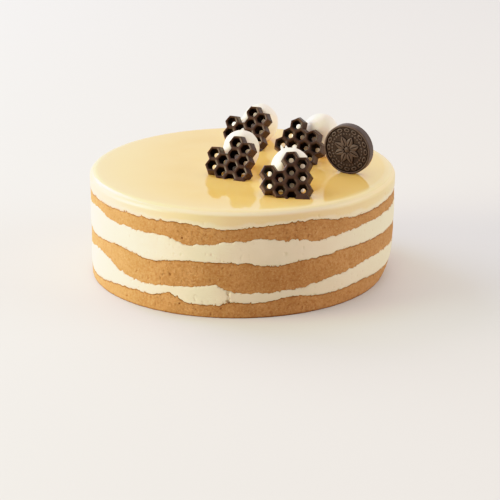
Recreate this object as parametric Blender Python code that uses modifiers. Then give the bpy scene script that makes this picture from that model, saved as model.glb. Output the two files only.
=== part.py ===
"""A round bee sting cake: three sponge layers with cream between them, a cream top
under a honey glaze, and four honeycomb chocolates, each leaning on a ball of cream,
beside a round chocolate medallion.

Metres, +Z up. The origin is the centre of the cake's base. Azimuths are in degrees
from the front (-Y), growing towards +X.
"""

import math
import random

import bmesh
import bpy
from mathutils import Matrix, Vector

MM = 0.001
NAME = "bee_sting_cake"

# The cake's body
CAKE_RADIUS = 115 * MM
CAKE_HEIGHT = 79 * MM
RIM_RADIUS = 5 * MM
RIM_FOOT = CAKE_HEIGHT - RIM_RADIUS
BASE_RADIUS = 111.3 * MM
BASE_SHIFT = Vector((-3.7 * MM, -3.7 * MM))
TUCK = 5.0
SPONGE_SET_BACK = 0.5 * MM
GAP = 0.3 * MM
FOOT_RISE = 4 * MM
AROUND = 96
FLAT_CORE = 0.84
RIM_STEPS = 4

# The glaze over the cream
GLAZE_DEPTH = 1.8 * MM
GLAZE_EDGE = 0.6 * MM

# Where sponge meets cream, from the base up: a level, swells as (azimuth, rise,
# spread before, spread after) and shelves as (start, end, rise), spreads in degrees.
EDGES = (
    (
        12.0 * MM,
        (
            (-71, -5.1 * MM, 28, 17),
            (-26, 3.3 * MM, 4, 3),
            (18, 2.6 * MM, 5, 11),
            (49, 2.0 * MM, 8, 20),
        ),
        ((-20, -6, -2.4 * MM),),
    ),
    (
        20.8 * MM,
        (
            (-64, 8.3 * MM, 21, 11),
            (-36, -1.9 * MM, 13, 9),
            (-5, 3.8 * MM, 14, 2),
            (59, 8.1 * MM, 26, 34),
        ),
        ((-5, 14, -2.1 * MM), (12, 26, -1.8 * MM)),
    ),
    (
        41.6 * MM,
        (
            (-72, -3.6 * MM, 15, 17),
            (-35, -4.0 * MM, 10, 11),
            (12, -3.4 * MM, 7, 8),
            (40, 1.8 * MM, 7, 32),
        ),
        (),
    ),
    (
        57.1 * MM,
        (
            (-68, 3.1 * MM, 9, 8),
            (-20, -4.1 * MM, 5, 11),
            (9, 1.9 * MM, 6, 2),
            (27, -3.3 * MM, 5, 14),
        ),
        (),
    ),
    (
        66.8 * MM,
        (
            (-18, 1.8 * MM, 27, 3),
            (-5, -1.6 * MM, 7, 6),
            (27, 2.9 * MM, 25, 6),
            (44, -1.8 * MM, 3, 23),
        ),
        (),
    ),
)
SHELF_ROUNDING = 2.2
BACK_FROM, BACK_TO = 95, 265
BACK_SWELLS = 7
BACK_RISE = 2.3 * MM
SEED = 7

# The honeycomb chocolates: a heart of hexagonal cells, wide in front, narrow behind
PITCH = 9.2 * MM
HEART_ROWS = 4
CELL_RADIUS = PITCH / math.sqrt(3)
PLATE_DEPTH = 6.5 * MM
BACK_RIM = 2.0 * MM
WALL = 1.3 * MM
HOLE_RADIUS = 2.0 * MM
HOLE_LENGTH = 1.0 * MM
DIMPLE_DEPTH = 3.0 * MM
OVERSHOOT = 0.5 * MM

# Each one: name, middle of its lobes, turn, lean, roll in degrees, broken or whole
HEARTS = (
    ("heart_front_left", (-10.7, -17.7, 95.7), -23.7, 33.1, 32.9, False),
    ("heart_front_right", (27.0, -65.4, 96.5), -6.6, 32.3, 34.5, False),
    ("heart_back_left", (1.9, 63.3, 97.9), -22.1, 32.5, 30.2, False),
    ("heart_back_right", (42.5, 9.0, 82.1), -19.9, 27.8, 177.7, True),
)

# The balls of cream: name, place on the glaze, radius, height, in millimetres
DOLLOPS = (
    ("dollop_front_left", (-0.9, -5.6), 13.5, 29.6),
    ("dollop_front_right", (34.7, -52.0), 14.0, 29.1),
    ("dollop_back_left", (14.1, 73.3), 14.0, 28.4),
    ("dollop_back_right", (60.0, 27.4), 13.4, 32.2),
)
DOLLOP_STEPS = 22
DOLLOP_ROWS = 7
FOOT_ROWS = 3
FOOT_ANGLE = 40
PEAK_HEIGHT = 1.6 * MM
PEAK_SPREAD = 2.6 * MM

# The medallion, standing on its edge
MEDALLION_RADIUS = 18.9 * MM
MEDALLION_DEPTH = 6.9 * MM
MEDALLION_FACE = Vector((76.8, -23.8, 97.6)) * MM
MEDALLION_TURN = -30.0
MEDALLION_LEAN = -3.0
MEDALLION_AROUND = 48
BORDER_WIDTH = 1.5 * MM
BORDER_RISE = 0.8 * MM
EDGE_BEVEL = 0.7 * MM
PETALS = 8
PETAL_RISE = 0.9 * MM
SCALLOPS = 16
SCALLOP_RISE = 0.5 * MM

TOPPING_LEVEL = CAKE_HEIGHT + GAP

SPONGE = (0.62, 0.30, 0.09, 1.0)
CREAM = (0.86, 0.74, 0.50, 1.0)
GLAZE = (0.80, 0.52, 0.13, 1.0)
CHOCOLATE = (0.045, 0.022, 0.014, 1.0)


def start_collections():
    """An empty scene with a collection for the cake and one for its cutters."""
    for obj in list(bpy.data.objects):
        bpy.data.objects.remove(obj, do_unlink=True)
    parts = bpy.data.collections.new(NAME)
    cutters = bpy.data.collections.new("cutters")
    for collection in (parts, cutters):
        bpy.context.scene.collection.children.link(collection)
    return parts, cutters


def material(name, colour, roughness):
    made = bpy.data.materials.new(name)
    made.use_nodes = True
    shader = made.node_tree.nodes["Principled BSDF"]
    shader.inputs["Base Color"].default_value = colour
    shader.inputs["Roughness"].default_value = roughness
    shader.inputs["Metallic"].default_value = 0.0
    return made


def add_object(name, bm, collection, colour=CREAM, roughness=0.6, smooth_under=50):
    """Turn a bmesh into a named object with its own material."""
    bmesh.ops.recalc_face_normals(bm, faces=bm.faces[:])
    mesh = bpy.data.meshes.new(name)
    bm.to_mesh(mesh)
    bm.free()
    mesh.shade_smooth()
    mesh.set_sharp_from_angle(angle=math.radians(smooth_under))
    obj = bpy.data.objects.new(name, mesh)
    obj.data.materials.append(material(name, colour, roughness))
    collection.objects.link(obj)
    return obj


def bridge(bm, first, second, crossed=False):
    """Triangles between two rings. Crossed turns the diagonals the other way."""
    count = len(first)
    for i in range(count):
        j = (i + 1) % count
        if crossed:
            bm.faces.new((first[i], first[j], second[i]))
            bm.faces.new((first[j], second[j], second[i]))
        else:
            bm.faces.new((first[i], first[j], second[j]))
            bm.faces.new((first[i], second[j], second[i]))


def loft(rings, crossed=(), bm=None):
    """A closed body through rings of points, each end shut by a flat face."""
    bm = bm or bmesh.new()
    made = [[bm.verts.new(point) for point in ring] for ring in rings]
    for index, (first, second) in enumerate(zip(made, made[1:])):
        bridge(bm, first, second, index in crossed)
    bm.faces.new(reversed(made[0]))
    bm.faces.new(made[-1])
    return bm


def side_point(azimuth, height, set_back=0.0):
    """A point on the cake's side: it leans on the left and tucks in on the right."""
    angle = math.radians(azimuth)
    tuck = 1.0 + TUCK * max(0.0, math.sin(angle))
    down = (1.0 - min(1.0, height / RIM_FOOT)) ** tuck
    radius = CAKE_RADIUS - (CAKE_RADIUS - BASE_RADIUS) * down - set_back
    shift = BASE_SHIFT * down
    x = shift.x + radius * math.sin(angle)
    y = shift.y - radius * math.cos(angle)
    return Vector((x, y, height))


def azimuths():
    return [360.0 * i / AROUND for i in range(AROUND)]


def wrapped(angle):
    return (angle + 180.0) % 360.0 - 180.0


def smooth_step(value):
    value = max(0.0, min(1.0, value))
    return value * value * (3.0 - 2.0 * value)


def back_swells(rng):
    """Swells for the side away from the front, in the manner of those in front."""
    swells = []
    for _ in range(BACK_SWELLS):
        azimuth = rng.uniform(BACK_FROM, BACK_TO)
        rise = rng.uniform(-BACK_RISE, BACK_RISE)
        swells.append((azimuth, rise, rng.uniform(5, 13), rng.uniform(5, 13)))
    return swells


def edge_heights():
    """The height of every edge between layers at every azimuth."""
    rng = random.Random(SEED)
    heights = []
    for level, swells, shelves in EDGES:
        swells = list(swells) + back_swells(rng)
        row = []
        for azimuth in azimuths():
            height = level
            for centre, rise, before, after in swells:
                off = wrapped(azimuth - centre)
                height += rise * math.exp(-((off / (before if off < 0 else after)) ** 2))
            for start, end, rise in shelves:
                into = smooth_step(0.5 + wrapped(azimuth - start) / SHELF_ROUNDING)
                out = smooth_step(0.5 + wrapped(end - azimuth) / SHELF_ROUNDING)
                height += rise * into * out
            row.append(height)
        heights.append(row)
    return heights


def core_ring(level, lift):
    """The flat middle of a layer's face, inside the wavy band by the side."""
    return [
        Vector((point.x * FLAT_CORE, point.y * FLAT_CORE, level + lift))
        for point in (side_point(azimuth, level) for azimuth in azimuths())
    ]


def edge_ring(heights, lift, set_back):
    return [side_point(a, h + lift, set_back) for a, h in zip(azimuths(), heights)]


def level_ring(height, set_back=0.0):
    return [side_point(azimuth, height, set_back) for azimuth in azimuths()]


def rim_rings(radius, top, rounding, foot):
    """Rings round a rounded rim, from its foot to the edge of the flat top."""
    rings = []
    for step in range(RIM_STEPS + 1):
        angle = 0.5 * math.pi * step / RIM_STEPS
        out = radius - rounding + rounding * math.cos(angle)
        height = foot + (top - foot) * math.sin(angle)
        rings.append(
            [
                Vector((out * math.sin(turn), -out * math.cos(turn), height))
                for turn in (math.radians(azimuth) for azimuth in azimuths())
            ]
        )
    return rings


def add_layers(parts):
    """Sponge and cream by turns, each running right through the cake."""
    heights = edge_heights()
    names = ("sponge_bottom", "cream_lower", "sponge_middle", "cream_upper", "sponge_top")
    for index, name in enumerate(names):
        is_sponge = index % 2 == 0
        set_back = SPONGE_SET_BACK if is_sponge else 0.0
        rings = [level_ring(0.0, set_back), level_ring(FOOT_RISE, set_back)]
        crossed = ()
        if index > 0:
            level = EDGES[index - 1][0]
            rings = [
                core_ring(level, GAP / 2),
                edge_ring(heights[index - 1], GAP / 2, set_back),
            ]
            crossed = (0,)
        rings.append(edge_ring(heights[index], -GAP / 2, set_back))
        rings.append(core_ring(EDGES[index][0], -GAP / 2))
        colour, roughness = (SPONGE, 0.9) if is_sponge else (CREAM, 0.5)
        add_object(name, loft(rings, crossed), parts, colour, roughness)
    add_cream_top(parts, heights[-1])
    add_glaze(parts)


def add_cream_top(parts, heights):
    """The cream above the top sponge, with a ledge where the glaze ends."""
    under_glaze = CAKE_HEIGHT - GLAZE_DEPTH - GAP
    inner_radius = CAKE_RADIUS - GLAZE_EDGE - GAP
    rings = [
        core_ring(EDGES[-1][0], GAP / 2),
        edge_ring(heights, GAP / 2, 0.0),
        level_ring(RIM_FOOT - GAP),
    ]
    rings += rim_rings(inner_radius, under_glaze, RIM_RADIUS - GLAZE_EDGE, RIM_FOOT - GAP)
    add_object("cream_top", loft(rings, (0,)), parts, CREAM, 0.5)


def add_glaze(parts):
    """A cap of set glaze, thick on top and thin where it runs over the rim."""
    inner_radius = CAKE_RADIUS - GLAZE_EDGE
    under = CAKE_HEIGHT - GLAZE_DEPTH
    inside = rim_rings(inner_radius, under, RIM_RADIUS - GLAZE_EDGE, RIM_FOOT)
    outside = rim_rings(CAKE_RADIUS, CAKE_HEIGHT, RIM_RADIUS, RIM_FOOT)
    add_object("glaze", loft(inside[::-1] + outside), parts, GLAZE, 0.1)


def heart_cells(broken):
    """Cell centres of a heart, tip down: two lobes over rows that lose a cell each."""
    cells = [(-1.0, 0.0), (1.0, 0.0)]
    for row in range(HEART_ROWS):
        count = HEART_ROWS - row
        for i in range(count):
            cells.append((i - (count - 1) / 2, -(row + 1) * math.sqrt(3) / 2))
    if broken:
        tip, beside_tip = cells[-1], cells[-3]
        cells = [cell for cell in cells if cell not in (tip, beside_tip)]
    return [Vector((x, y)) * PITCH for x, y in cells]


def polygon(centre, radius, count, start=30.0):
    turns = [math.radians(start + 360.0 * i / count) for i in range(count)]
    return [centre + Vector((math.cos(t), math.sin(t))) * radius for t in turns]


def outline_of(cells):
    """The corners round a group of cells, in order, anticlockwise."""
    corners = {}
    sides = {}
    for cell in cells:
        keys = []
        for corner in polygon(cell, CELL_RADIUS, 6):
            key = (round(corner.x / MM, 1), round(corner.y / MM, 1))
            corners[key] = corner
            keys.append(key)
        for key, following in zip(keys, keys[1:] + keys[:1]):
            sides[key, following] = True
    onward = {a: b for a, b in sides if (b, a) not in sides}
    first = key = next(iter(onward))
    ring = []
    while not ring or key != first:
        ring.append(corners[key])
        key = onward[key]
    return ring


def widened(ring, by):
    """A ring of corners moved out, so that every side moves by this much."""
    moved = []
    for i, corner in enumerate(ring):
        before = (corner - ring[i - 1]).normalized()
        after = (ring[(i + 1) % len(ring)] - corner).normalized()
        out = Vector((before.y + after.y, -before.x - after.x))
        moved.append(corner + out * by / (1.0 + before.dot(after)))
    return moved


def raised(ring, z):
    return [Vector((point.x, point.y, z)) for point in ring]


def hexagon_ring(centre, radius):
    """A hexagon with a point at each corner and at the middle of each side."""
    ring = []
    corners = polygon(centre, radius, 6)
    for corner, following in zip(corners, corners[1:] + corners[:1]):
        ring += [corner, (corner + following) / 2]
    return ring


def heart_cutter(cells, standing):
    """Bores with a hexagonal mouth, which narrow to a round hole behind.

    A cell whose hole is under the glaze is a dimple, and one that is all but sunk
    in it is solid.
    """
    mouth = CELL_RADIUS - WALL / math.cos(math.radians(30))
    bm = bmesh.new()
    for cell in cells:
        behind = standing @ Vector((cell.x, cell.y, 0.0))
        in_front = standing @ Vector((cell.x, cell.y, PLATE_DEPTH))
        if in_front.z < TOPPING_LEVEL:
            continue
        narrow = polygon(cell, HOLE_RADIUS, 12)
        if behind.z < TOPPING_LEVEL:
            rings = [raised(narrow, PLATE_DEPTH - DIMPLE_DEPTH)]
        else:
            rings = [raised(narrow, -OVERSHOOT), raised(narrow, HOLE_LENGTH)]
        wide = hexagon_ring(cell, mouth)
        rings += [raised(wide, PLATE_DEPTH), raised(wide, PLATE_DEPTH + OVERSHOOT)]
        loft(rings, bm=bm)
    return bm


def pose(turn, lean, roll):
    """From lying flat, face up, to standing with the face to the front."""
    return (
        Matrix.Rotation(math.radians(turn), 4, "Z")
        @ Matrix.Rotation(math.radians(90 - lean), 4, "X")
        @ Matrix.Rotation(math.radians(roll), 4, "Z")
    )


def add_cutter(name, bm, cutters):
    cutter = add_object(name, bm, cutters)
    cutter.hide_render = True
    cutter.display_type = "WIRE"
    return cutter


def block(size, place):
    """A block whose top face has its middle at the origin of its place."""
    bm = bmesh.new()
    sides = Matrix.Diagonal((size.x, size.y, size.z, 1.0))
    sunk = Matrix.Translation((0, 0, -size.z / 2))
    bmesh.ops.create_cube(bm, size=1.0, matrix=place @ sunk @ sides)
    return bm


def cut(obj, cutter):
    trim = obj.modifiers.new(cutter.name, "BOOLEAN")
    trim.operation = "DIFFERENCE"
    trim.object = cutter


def add_hearts(parts, cutters, below_glaze):
    for name, place, turn, lean, roll, broken in HEARTS:
        cells = heart_cells(broken)
        outline = outline_of(cells)
        rings = (
            raised(widened(outline, BACK_RIM), 0.0),
            raised(outline, PLATE_DEPTH),
        )
        standing = Matrix.Translation(Vector(place) * MM) @ pose(turn, lean, roll)
        obj = add_object(name, loft(rings), parts, CHOCOLATE, 0.45, 20)
        holes = add_cutter(name + "_holes", heart_cutter(cells, standing), cutters)
        obj.matrix_world = standing
        holes.matrix_world = standing
        cut(obj, holes)
        cut(obj, below_glaze)


def dollop_profile(radius, height):
    """Half the outline of a piped ball, from its little peak down to its foot."""
    middle = height - PEAK_HEIGHT - radius
    foot_angle = math.radians(FOOT_ANGLE)
    points = []
    for row in range(DOLLOP_ROWS):
        angle = math.pi / 2 * (1.0 - row / DOLLOP_ROWS)
        out = radius * math.cos(angle)
        peak = PEAK_HEIGHT * math.exp(-((out / PEAK_SPREAD) ** 2))
        points.append((out, middle + radius * math.sin(angle) + peak))
    for row in range(FOOT_ROWS + 1):
        angle = foot_angle * row / FOOT_ROWS
        up = middle * (1.0 - math.sin(angle) / math.sin(foot_angle))
        points.append((radius * math.cos(angle), up))
    points[0] = (0.0, points[0][1])
    points.append((0.0, 0.0))
    return points


def add_dollops(parts):
    for name, (x, y), radius, height in DOLLOPS:
        bm = bmesh.new()
        verts = [
            bm.verts.new((out, 0.0, up))
            for out, up in dollop_profile(radius * MM, height * MM)
        ]
        for first, second in zip(verts, verts[1:]):
            bm.edges.new((first, second))
        mesh = bpy.data.meshes.new(name)
        bm.to_mesh(mesh)
        bm.free()
        obj = bpy.data.objects.new(name, mesh)
        obj.data.materials.append(material(name, CREAM, 0.4))
        parts.objects.link(obj)
        obj.location = (x * MM, y * MM, TOPPING_LEVEL)
        turned = obj.modifiers.new("turned", "SCREW")
        turned.steps = DOLLOP_STEPS
        turned.render_steps = DOLLOP_STEPS
        turned.use_merge_vertices = True
        turned.merge_threshold = 0.00001
        turned.use_smooth_shade = True


def medallion_rings():
    """Rings from the back's middle round the edge to the front's middle."""
    field = MEDALLION_DEPTH - BORDER_RISE
    outer = MEDALLION_RADIUS
    inner = outer - BORDER_WIDTH
    rosette = 0.62 * inner
    # Each ring's radius, height, number of bumps and their rise
    shape = (
        (outer - EDGE_BEVEL, 0.0, 0, 0.0),
        (outer, EDGE_BEVEL, 0, 0.0),
        (outer, MEDALLION_DEPTH - EDGE_BEVEL, 0, 0.0),
        (outer - EDGE_BEVEL, MEDALLION_DEPTH, 0, 0.0),
        (inner, MEDALLION_DEPTH, 0, 0.0),
        (inner - BORDER_RISE, field, 0, 0.0),
        (0.86 * inner, field, SCALLOPS, SCALLOP_RISE),
        (0.76 * inner, field, 0, 0.0),
        (rosette, field, 0, 0.0),
        (0.72 * rosette, field, PETALS, PETAL_RISE),
        (0.30 * rosette, field, 0, 0.0),
        (0.18 * rosette, field + PETAL_RISE, 0, 0.0),
    )
    return [medallion_ring(*row) for row in shape]


def medallion_ring(radius, height, bumps, rise):
    ring = []
    for i in range(MEDALLION_AROUND):
        turn = 2 * math.pi * i / MEDALLION_AROUND
        lift = rise * abs(math.sin(0.5 * bumps * turn))
        ring.append(Vector((radius * math.cos(turn), radius * math.sin(turn), height + lift)))
    return ring


def add_medallion(parts, below_glaze):
    obj = add_object("medallion", loft(medallion_rings()), parts, CHOCOLATE, 0.5, 35)
    standing = pose(MEDALLION_TURN, MEDALLION_LEAN, 0.0)
    back = Matrix.Translation((0, 0, -MEDALLION_DEPTH))
    obj.matrix_world = Matrix.Translation(MEDALLION_FACE) @ standing @ back
    cut(obj, below_glaze)


def main():
    parts, cutters = start_collections()
    add_layers(parts)
    level = Matrix.Translation((0, 0, TOPPING_LEVEL))
    size = Vector((2 * CAKE_RADIUS, 2 * CAKE_RADIUS, CAKE_HEIGHT / 2))
    below_glaze = add_cutter("below_glaze", block(size, level), cutters)
    add_hearts(parts, cutters, below_glaze)
    add_dollops(parts)
    add_medallion(parts, below_glaze)


main()
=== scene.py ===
"""The looks of the bee sting cake: crumb, cream, glaze, chocolate, light and camera.

Metres, +Z up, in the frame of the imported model. Azimuths are in radians from the
front (-Y), growing towards +X.
"""

import math
import random

import bmesh
import bpy
from mathutils import Matrix, Vector, noise


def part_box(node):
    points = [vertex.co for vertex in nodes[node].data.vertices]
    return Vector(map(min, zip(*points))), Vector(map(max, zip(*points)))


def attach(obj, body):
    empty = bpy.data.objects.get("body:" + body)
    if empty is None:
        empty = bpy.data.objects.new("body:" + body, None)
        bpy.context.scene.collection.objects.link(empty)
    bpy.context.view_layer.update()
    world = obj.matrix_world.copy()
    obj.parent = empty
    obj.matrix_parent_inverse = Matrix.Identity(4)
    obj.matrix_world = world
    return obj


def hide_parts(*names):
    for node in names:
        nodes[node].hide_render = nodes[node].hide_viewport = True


MM = 0.001

# The cake's body, as in the solids
CAKE_RADIUS = 115 * MM
CAKE_HEIGHT = 79 * MM
RIM_RADIUS = 5 * MM
RIM_REACH = 6.5 * MM
RIM_FOOT = CAKE_HEIGHT - RIM_RADIUS
BASE_RADIUS = 111.3 * MM
BASE_SHIFT = Vector((-3.7 * MM, -3.7 * MM))

# How much faster the lean of the base fades, going up, on the right
TUCK = 5.0

# How finely the sides are built, round the cake and up a layer
AROUND = 1440
SOLID_AROUND = 96
TURNS = [2 * math.pi * i / AROUND for i in range(AROUND)]
SPONGE_ROW = 0.55 * MM
CREAM_ROW = 0.9 * MM

# The layers' faces are flat out to this share of the way to the side, and the solids'
# points past the second share are on the side
CORE = 0.84
SIDE_SHARE = 0.93

# How deep the browned edges of the sponges go, and the dark line at the cake's foot, which is partly
# browned by baking and partly painted contact shade
CRUST = 0.9 * MM

# Where the painted light and shade of the cake's left and right sides start, and where they are full
SIDE_LIGHT_TINTS_FROM = 0.3 * CAKE_RADIUS
SIDE_LIGHT_TINTS_FULL = 0.9 * CAKE_RADIUS

# The upper edges of the layers: how far they wave, and how far crumbs push them up
RAGGED_EDGES = {
    "sponge": (0.8 * MM, 2.6 * MM),
    "cream": (1.15 * MM, -2.2 * MM),
}
EDGE_SEED = 11.3

# The layers from the base up, each with its kind
LAYERS = (
    ("sponge_bottom", "sponge"),
    ("cream_lower", "cream"),
    ("sponge_middle", "sponge"),
    ("cream_upper", "cream"),
    ("sponge_top", "sponge"),
)

# Where the lower cream is split, near the middle of the front
NOTCH_AZIMUTH = math.radians(-5.2)
NOTCH_TOP = 24 * MM
NOTCH_HALF_WIDTH = 1.1 * MM
NOTCH_WANDER = 2.4 * MM

# The glazed top: steps up its wall and round its rim, then rings on the flat, each
# with its radius in mm and how far down it counts as lying, for the colours
WALL_STEPS = 10
RIM_STEPS = 12
TOP_RINGS = ((106, 0.16), (102, 0.13), (96, 0.09), (88, 0.05), (78, 0.0), (40, 0.0))

# Loose crumbs along the edges of the layers
CRUMBS = 420
NOTCH_CRUMBS = 9
CRUMB_SIZES = (0.25 * MM, 0.6 * MM)
CRUMB_SEED = 5

# The honeycomb chocolates, as in the solids, with finer ridges and sides
PITCH = 9.2 * MM
HEART_ROWS = 4
PLATE_DEPTH = 6.5 * MM
BACK_RIM = 2.0 * MM
HOLE_RADIUS = 1.8 * MM
BORE_DEPTH = 5.5 * MM
DIMPLE_DEPTH = 3.0 * MM
CELL_AROUND = 48
RIDGE_SHARE = 0.5
RIDGE_DROP = 0.8 * MM
RIDGE_STEPS = 6
BORE_STEPS = 8
OUTER_ROUNDING = 0.3 * MM
ROUNDED_DEPTH = 0.25
SIDE_DEPTHS = (0.0, 0.1, 0.25, 0.5, 1.0, 2.4, 4.2, 6.0, 6.3)
CHOCOLATE_FOOT = CAKE_HEIGHT - 0.1 * MM

# How far and over what length the surface of the honeycomb waves. Without a seed of
# its own, this noise would differ from run to run.
CHOCOLATE_WAVE = 0.1 * MM
CHOCOLATE_WAVE_LENGTH = 4.0 * MM
NOISE_SEED = 5

# Each one: node, middle of its lobes in mm, turn, lean and roll in degrees, and
# whether its tip is broken off
HEARTS = (
    ("heart_front_left", (-10.7, -17.7, 95.7), -23.7, 33.1, 32.9, False),
    ("heart_front_right", (27.0, -65.4, 96.5), -6.6, 32.3, 34.5, False),
    ("heart_back_left", (1.9, 63.3, 97.9), -22.1, 32.5, 30.2, False),
    ("heart_back_right", (42.5, 9.0, 82.1), -19.9, 27.8, 177.7, True),
)

# The balls of cream: how far they spread behind the plate of the same number, as a
# share of their radius, and their drawn-out tips, from the ball's middle in mm
DOLLOPS = (
    ("dollop_front_left", 2.15, ((1.3, 2.5, 14.9),)),
    ("dollop_front_right", 1.75, ((-7.0, 4.5, 15.2), (-3.4, 4.3, 15.0), (3.6, 4.2, 15.0))),
    ("dollop_back_left", 1.7, ()),
    ("dollop_back_right", 1.65, ()),
)

# A narrow gap between the cream and its plate lets light in behind the plate. The
# cream counts as hidden up to this far from a cell's middle, and fades out from there.
PRESSED_GAP = 3.2 * MM
HIDDEN_WITHIN = 0.35 * PITCH
HIDDEN_FADE = 0.25 * PITCH
GLANCING = 0.1
SPREAD_CORNER = 6
SPREAD_SOFTENING = 16

# The form of the balls themselves
DOLLOP_AROUND = 192
DOLLOP_ROWS = 96
DOLLOP_FOOT = math.radians(58)
DOLLOP_SWELL = 0.35 * MM
DOLLOP_FOLD = 0.35 * MM
PEAK_HEIGHT = 1.6 * MM
TIP_WIDTH = 0.055

# The medallion, as in the solids, with a finer flower
MEDALLION_RADIUS = 18.9 * MM
MEDALLION_DEPTH = 6.9 * MM
MEDALLION_FACE = Vector((76.8, -23.8, 97.6)) * MM
MEDALLION_TURN = -30.0
MEDALLION_LEAN = -3.0
MEDALLION_AROUND = 320
MEDALLION_ROW = 0.22 * MM
BORDER_WIDTH = 1.5 * MM
BORDER_RISE = 0.8 * MM
EDGE_BEVEL = 0.7 * MM
BEVEL_STEPS = 4
FIELD_EDGE = 0.8 * MM

# The medallion's flower and its rings. Places and widths are in mm.
BUTTON_RADIUS = 2.1 * MM
PETALS = 8
PETAL_FOOT = 2.6
PETAL_LENGTH = 8.2
PETAL_HALF_WIDTH = 2.6
PETAL_RISE = 0.85 * MM
PETAL_REACH = 10.9 * MM
VEIN_DEPTH = 0.35 * MM
FIELD_SHADE = 0.6
SCALLOPS = 16
SCALLOP_RING = 15.1
SCALLOP_HALF_WIDTH = 2.4
SCALLOP_HALF_HEIGHT = 1.5
SCALLOP_RISE = 0.5 * MM
SCALLOP_HOLLOW = 0.3 * MM
BEADS = 32
BEAD_RING = 12.1
BEAD_RADIUS = 0.75
BEAD_RISE = 0.45 * MM

# The camera, fitted to the photo's outlines, and the way to it from the cake's top
CAMERA_PLACE = (0.0, -1.2, 0.4303)
CAMERA_PITCH = 19.25
CAMERA_YAW = 0.0047
CAMERA_LENS = 119.1
TO_VIEWER = (Vector(CAMERA_PLACE) - Vector((0.0, 0.0, CAKE_HEIGHT))).normalized()

# The film: how brightness, as a share of its white, is shown, and the brightest white
FILM_WHITE = 2.0
FILM_CURVE = (
    (0.19, 0.38),
    (0.302, 0.54),
    (0.394, 0.672),
    (0.5, 0.767),
    (0.688, 0.915),
    (0.85, 0.955),
)
BRIGHTEST = 0.985

# The studio: discs of light, each with its place, power and colour, and glows of the
# surround, each with the direction that it is brightest in, where it starts as a
# cosine, and its colour
LIGHT_SIZE = 2.2
LIGHT_TARGET = (0.0, 0.0, 0.04)
LIGHTS = (
    ("left_back", (-2.0, 1.8, 1.3), 67.0, (1.0, 1.037, 1.346)),
    ("left_low", (-2.6, -0.3, 0.35), 223.0, (1.0, 0.947, 0.729)),
    ("right", (2.6, -0.3, 0.9), 60.7, (1.0, 0.888, 0.822)),
)
GLOWS = (
    ((0.0, 1.0, 0.0), 0.0, (0.933, 0.947, 0.932)),
    ((0.0, 0.64, 0.77), 0.6, (0.224, 0.217, 0.209)),
    ((0.0, 0.0, 1.0), 0.3, (1.035, 0.950, 0.995)),
)

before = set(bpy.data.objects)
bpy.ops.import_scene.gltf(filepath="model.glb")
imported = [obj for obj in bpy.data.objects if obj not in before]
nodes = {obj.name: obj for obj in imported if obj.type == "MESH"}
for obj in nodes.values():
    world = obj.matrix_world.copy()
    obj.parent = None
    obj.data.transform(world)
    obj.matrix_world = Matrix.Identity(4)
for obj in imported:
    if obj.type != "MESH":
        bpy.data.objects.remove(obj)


# Materials


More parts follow.
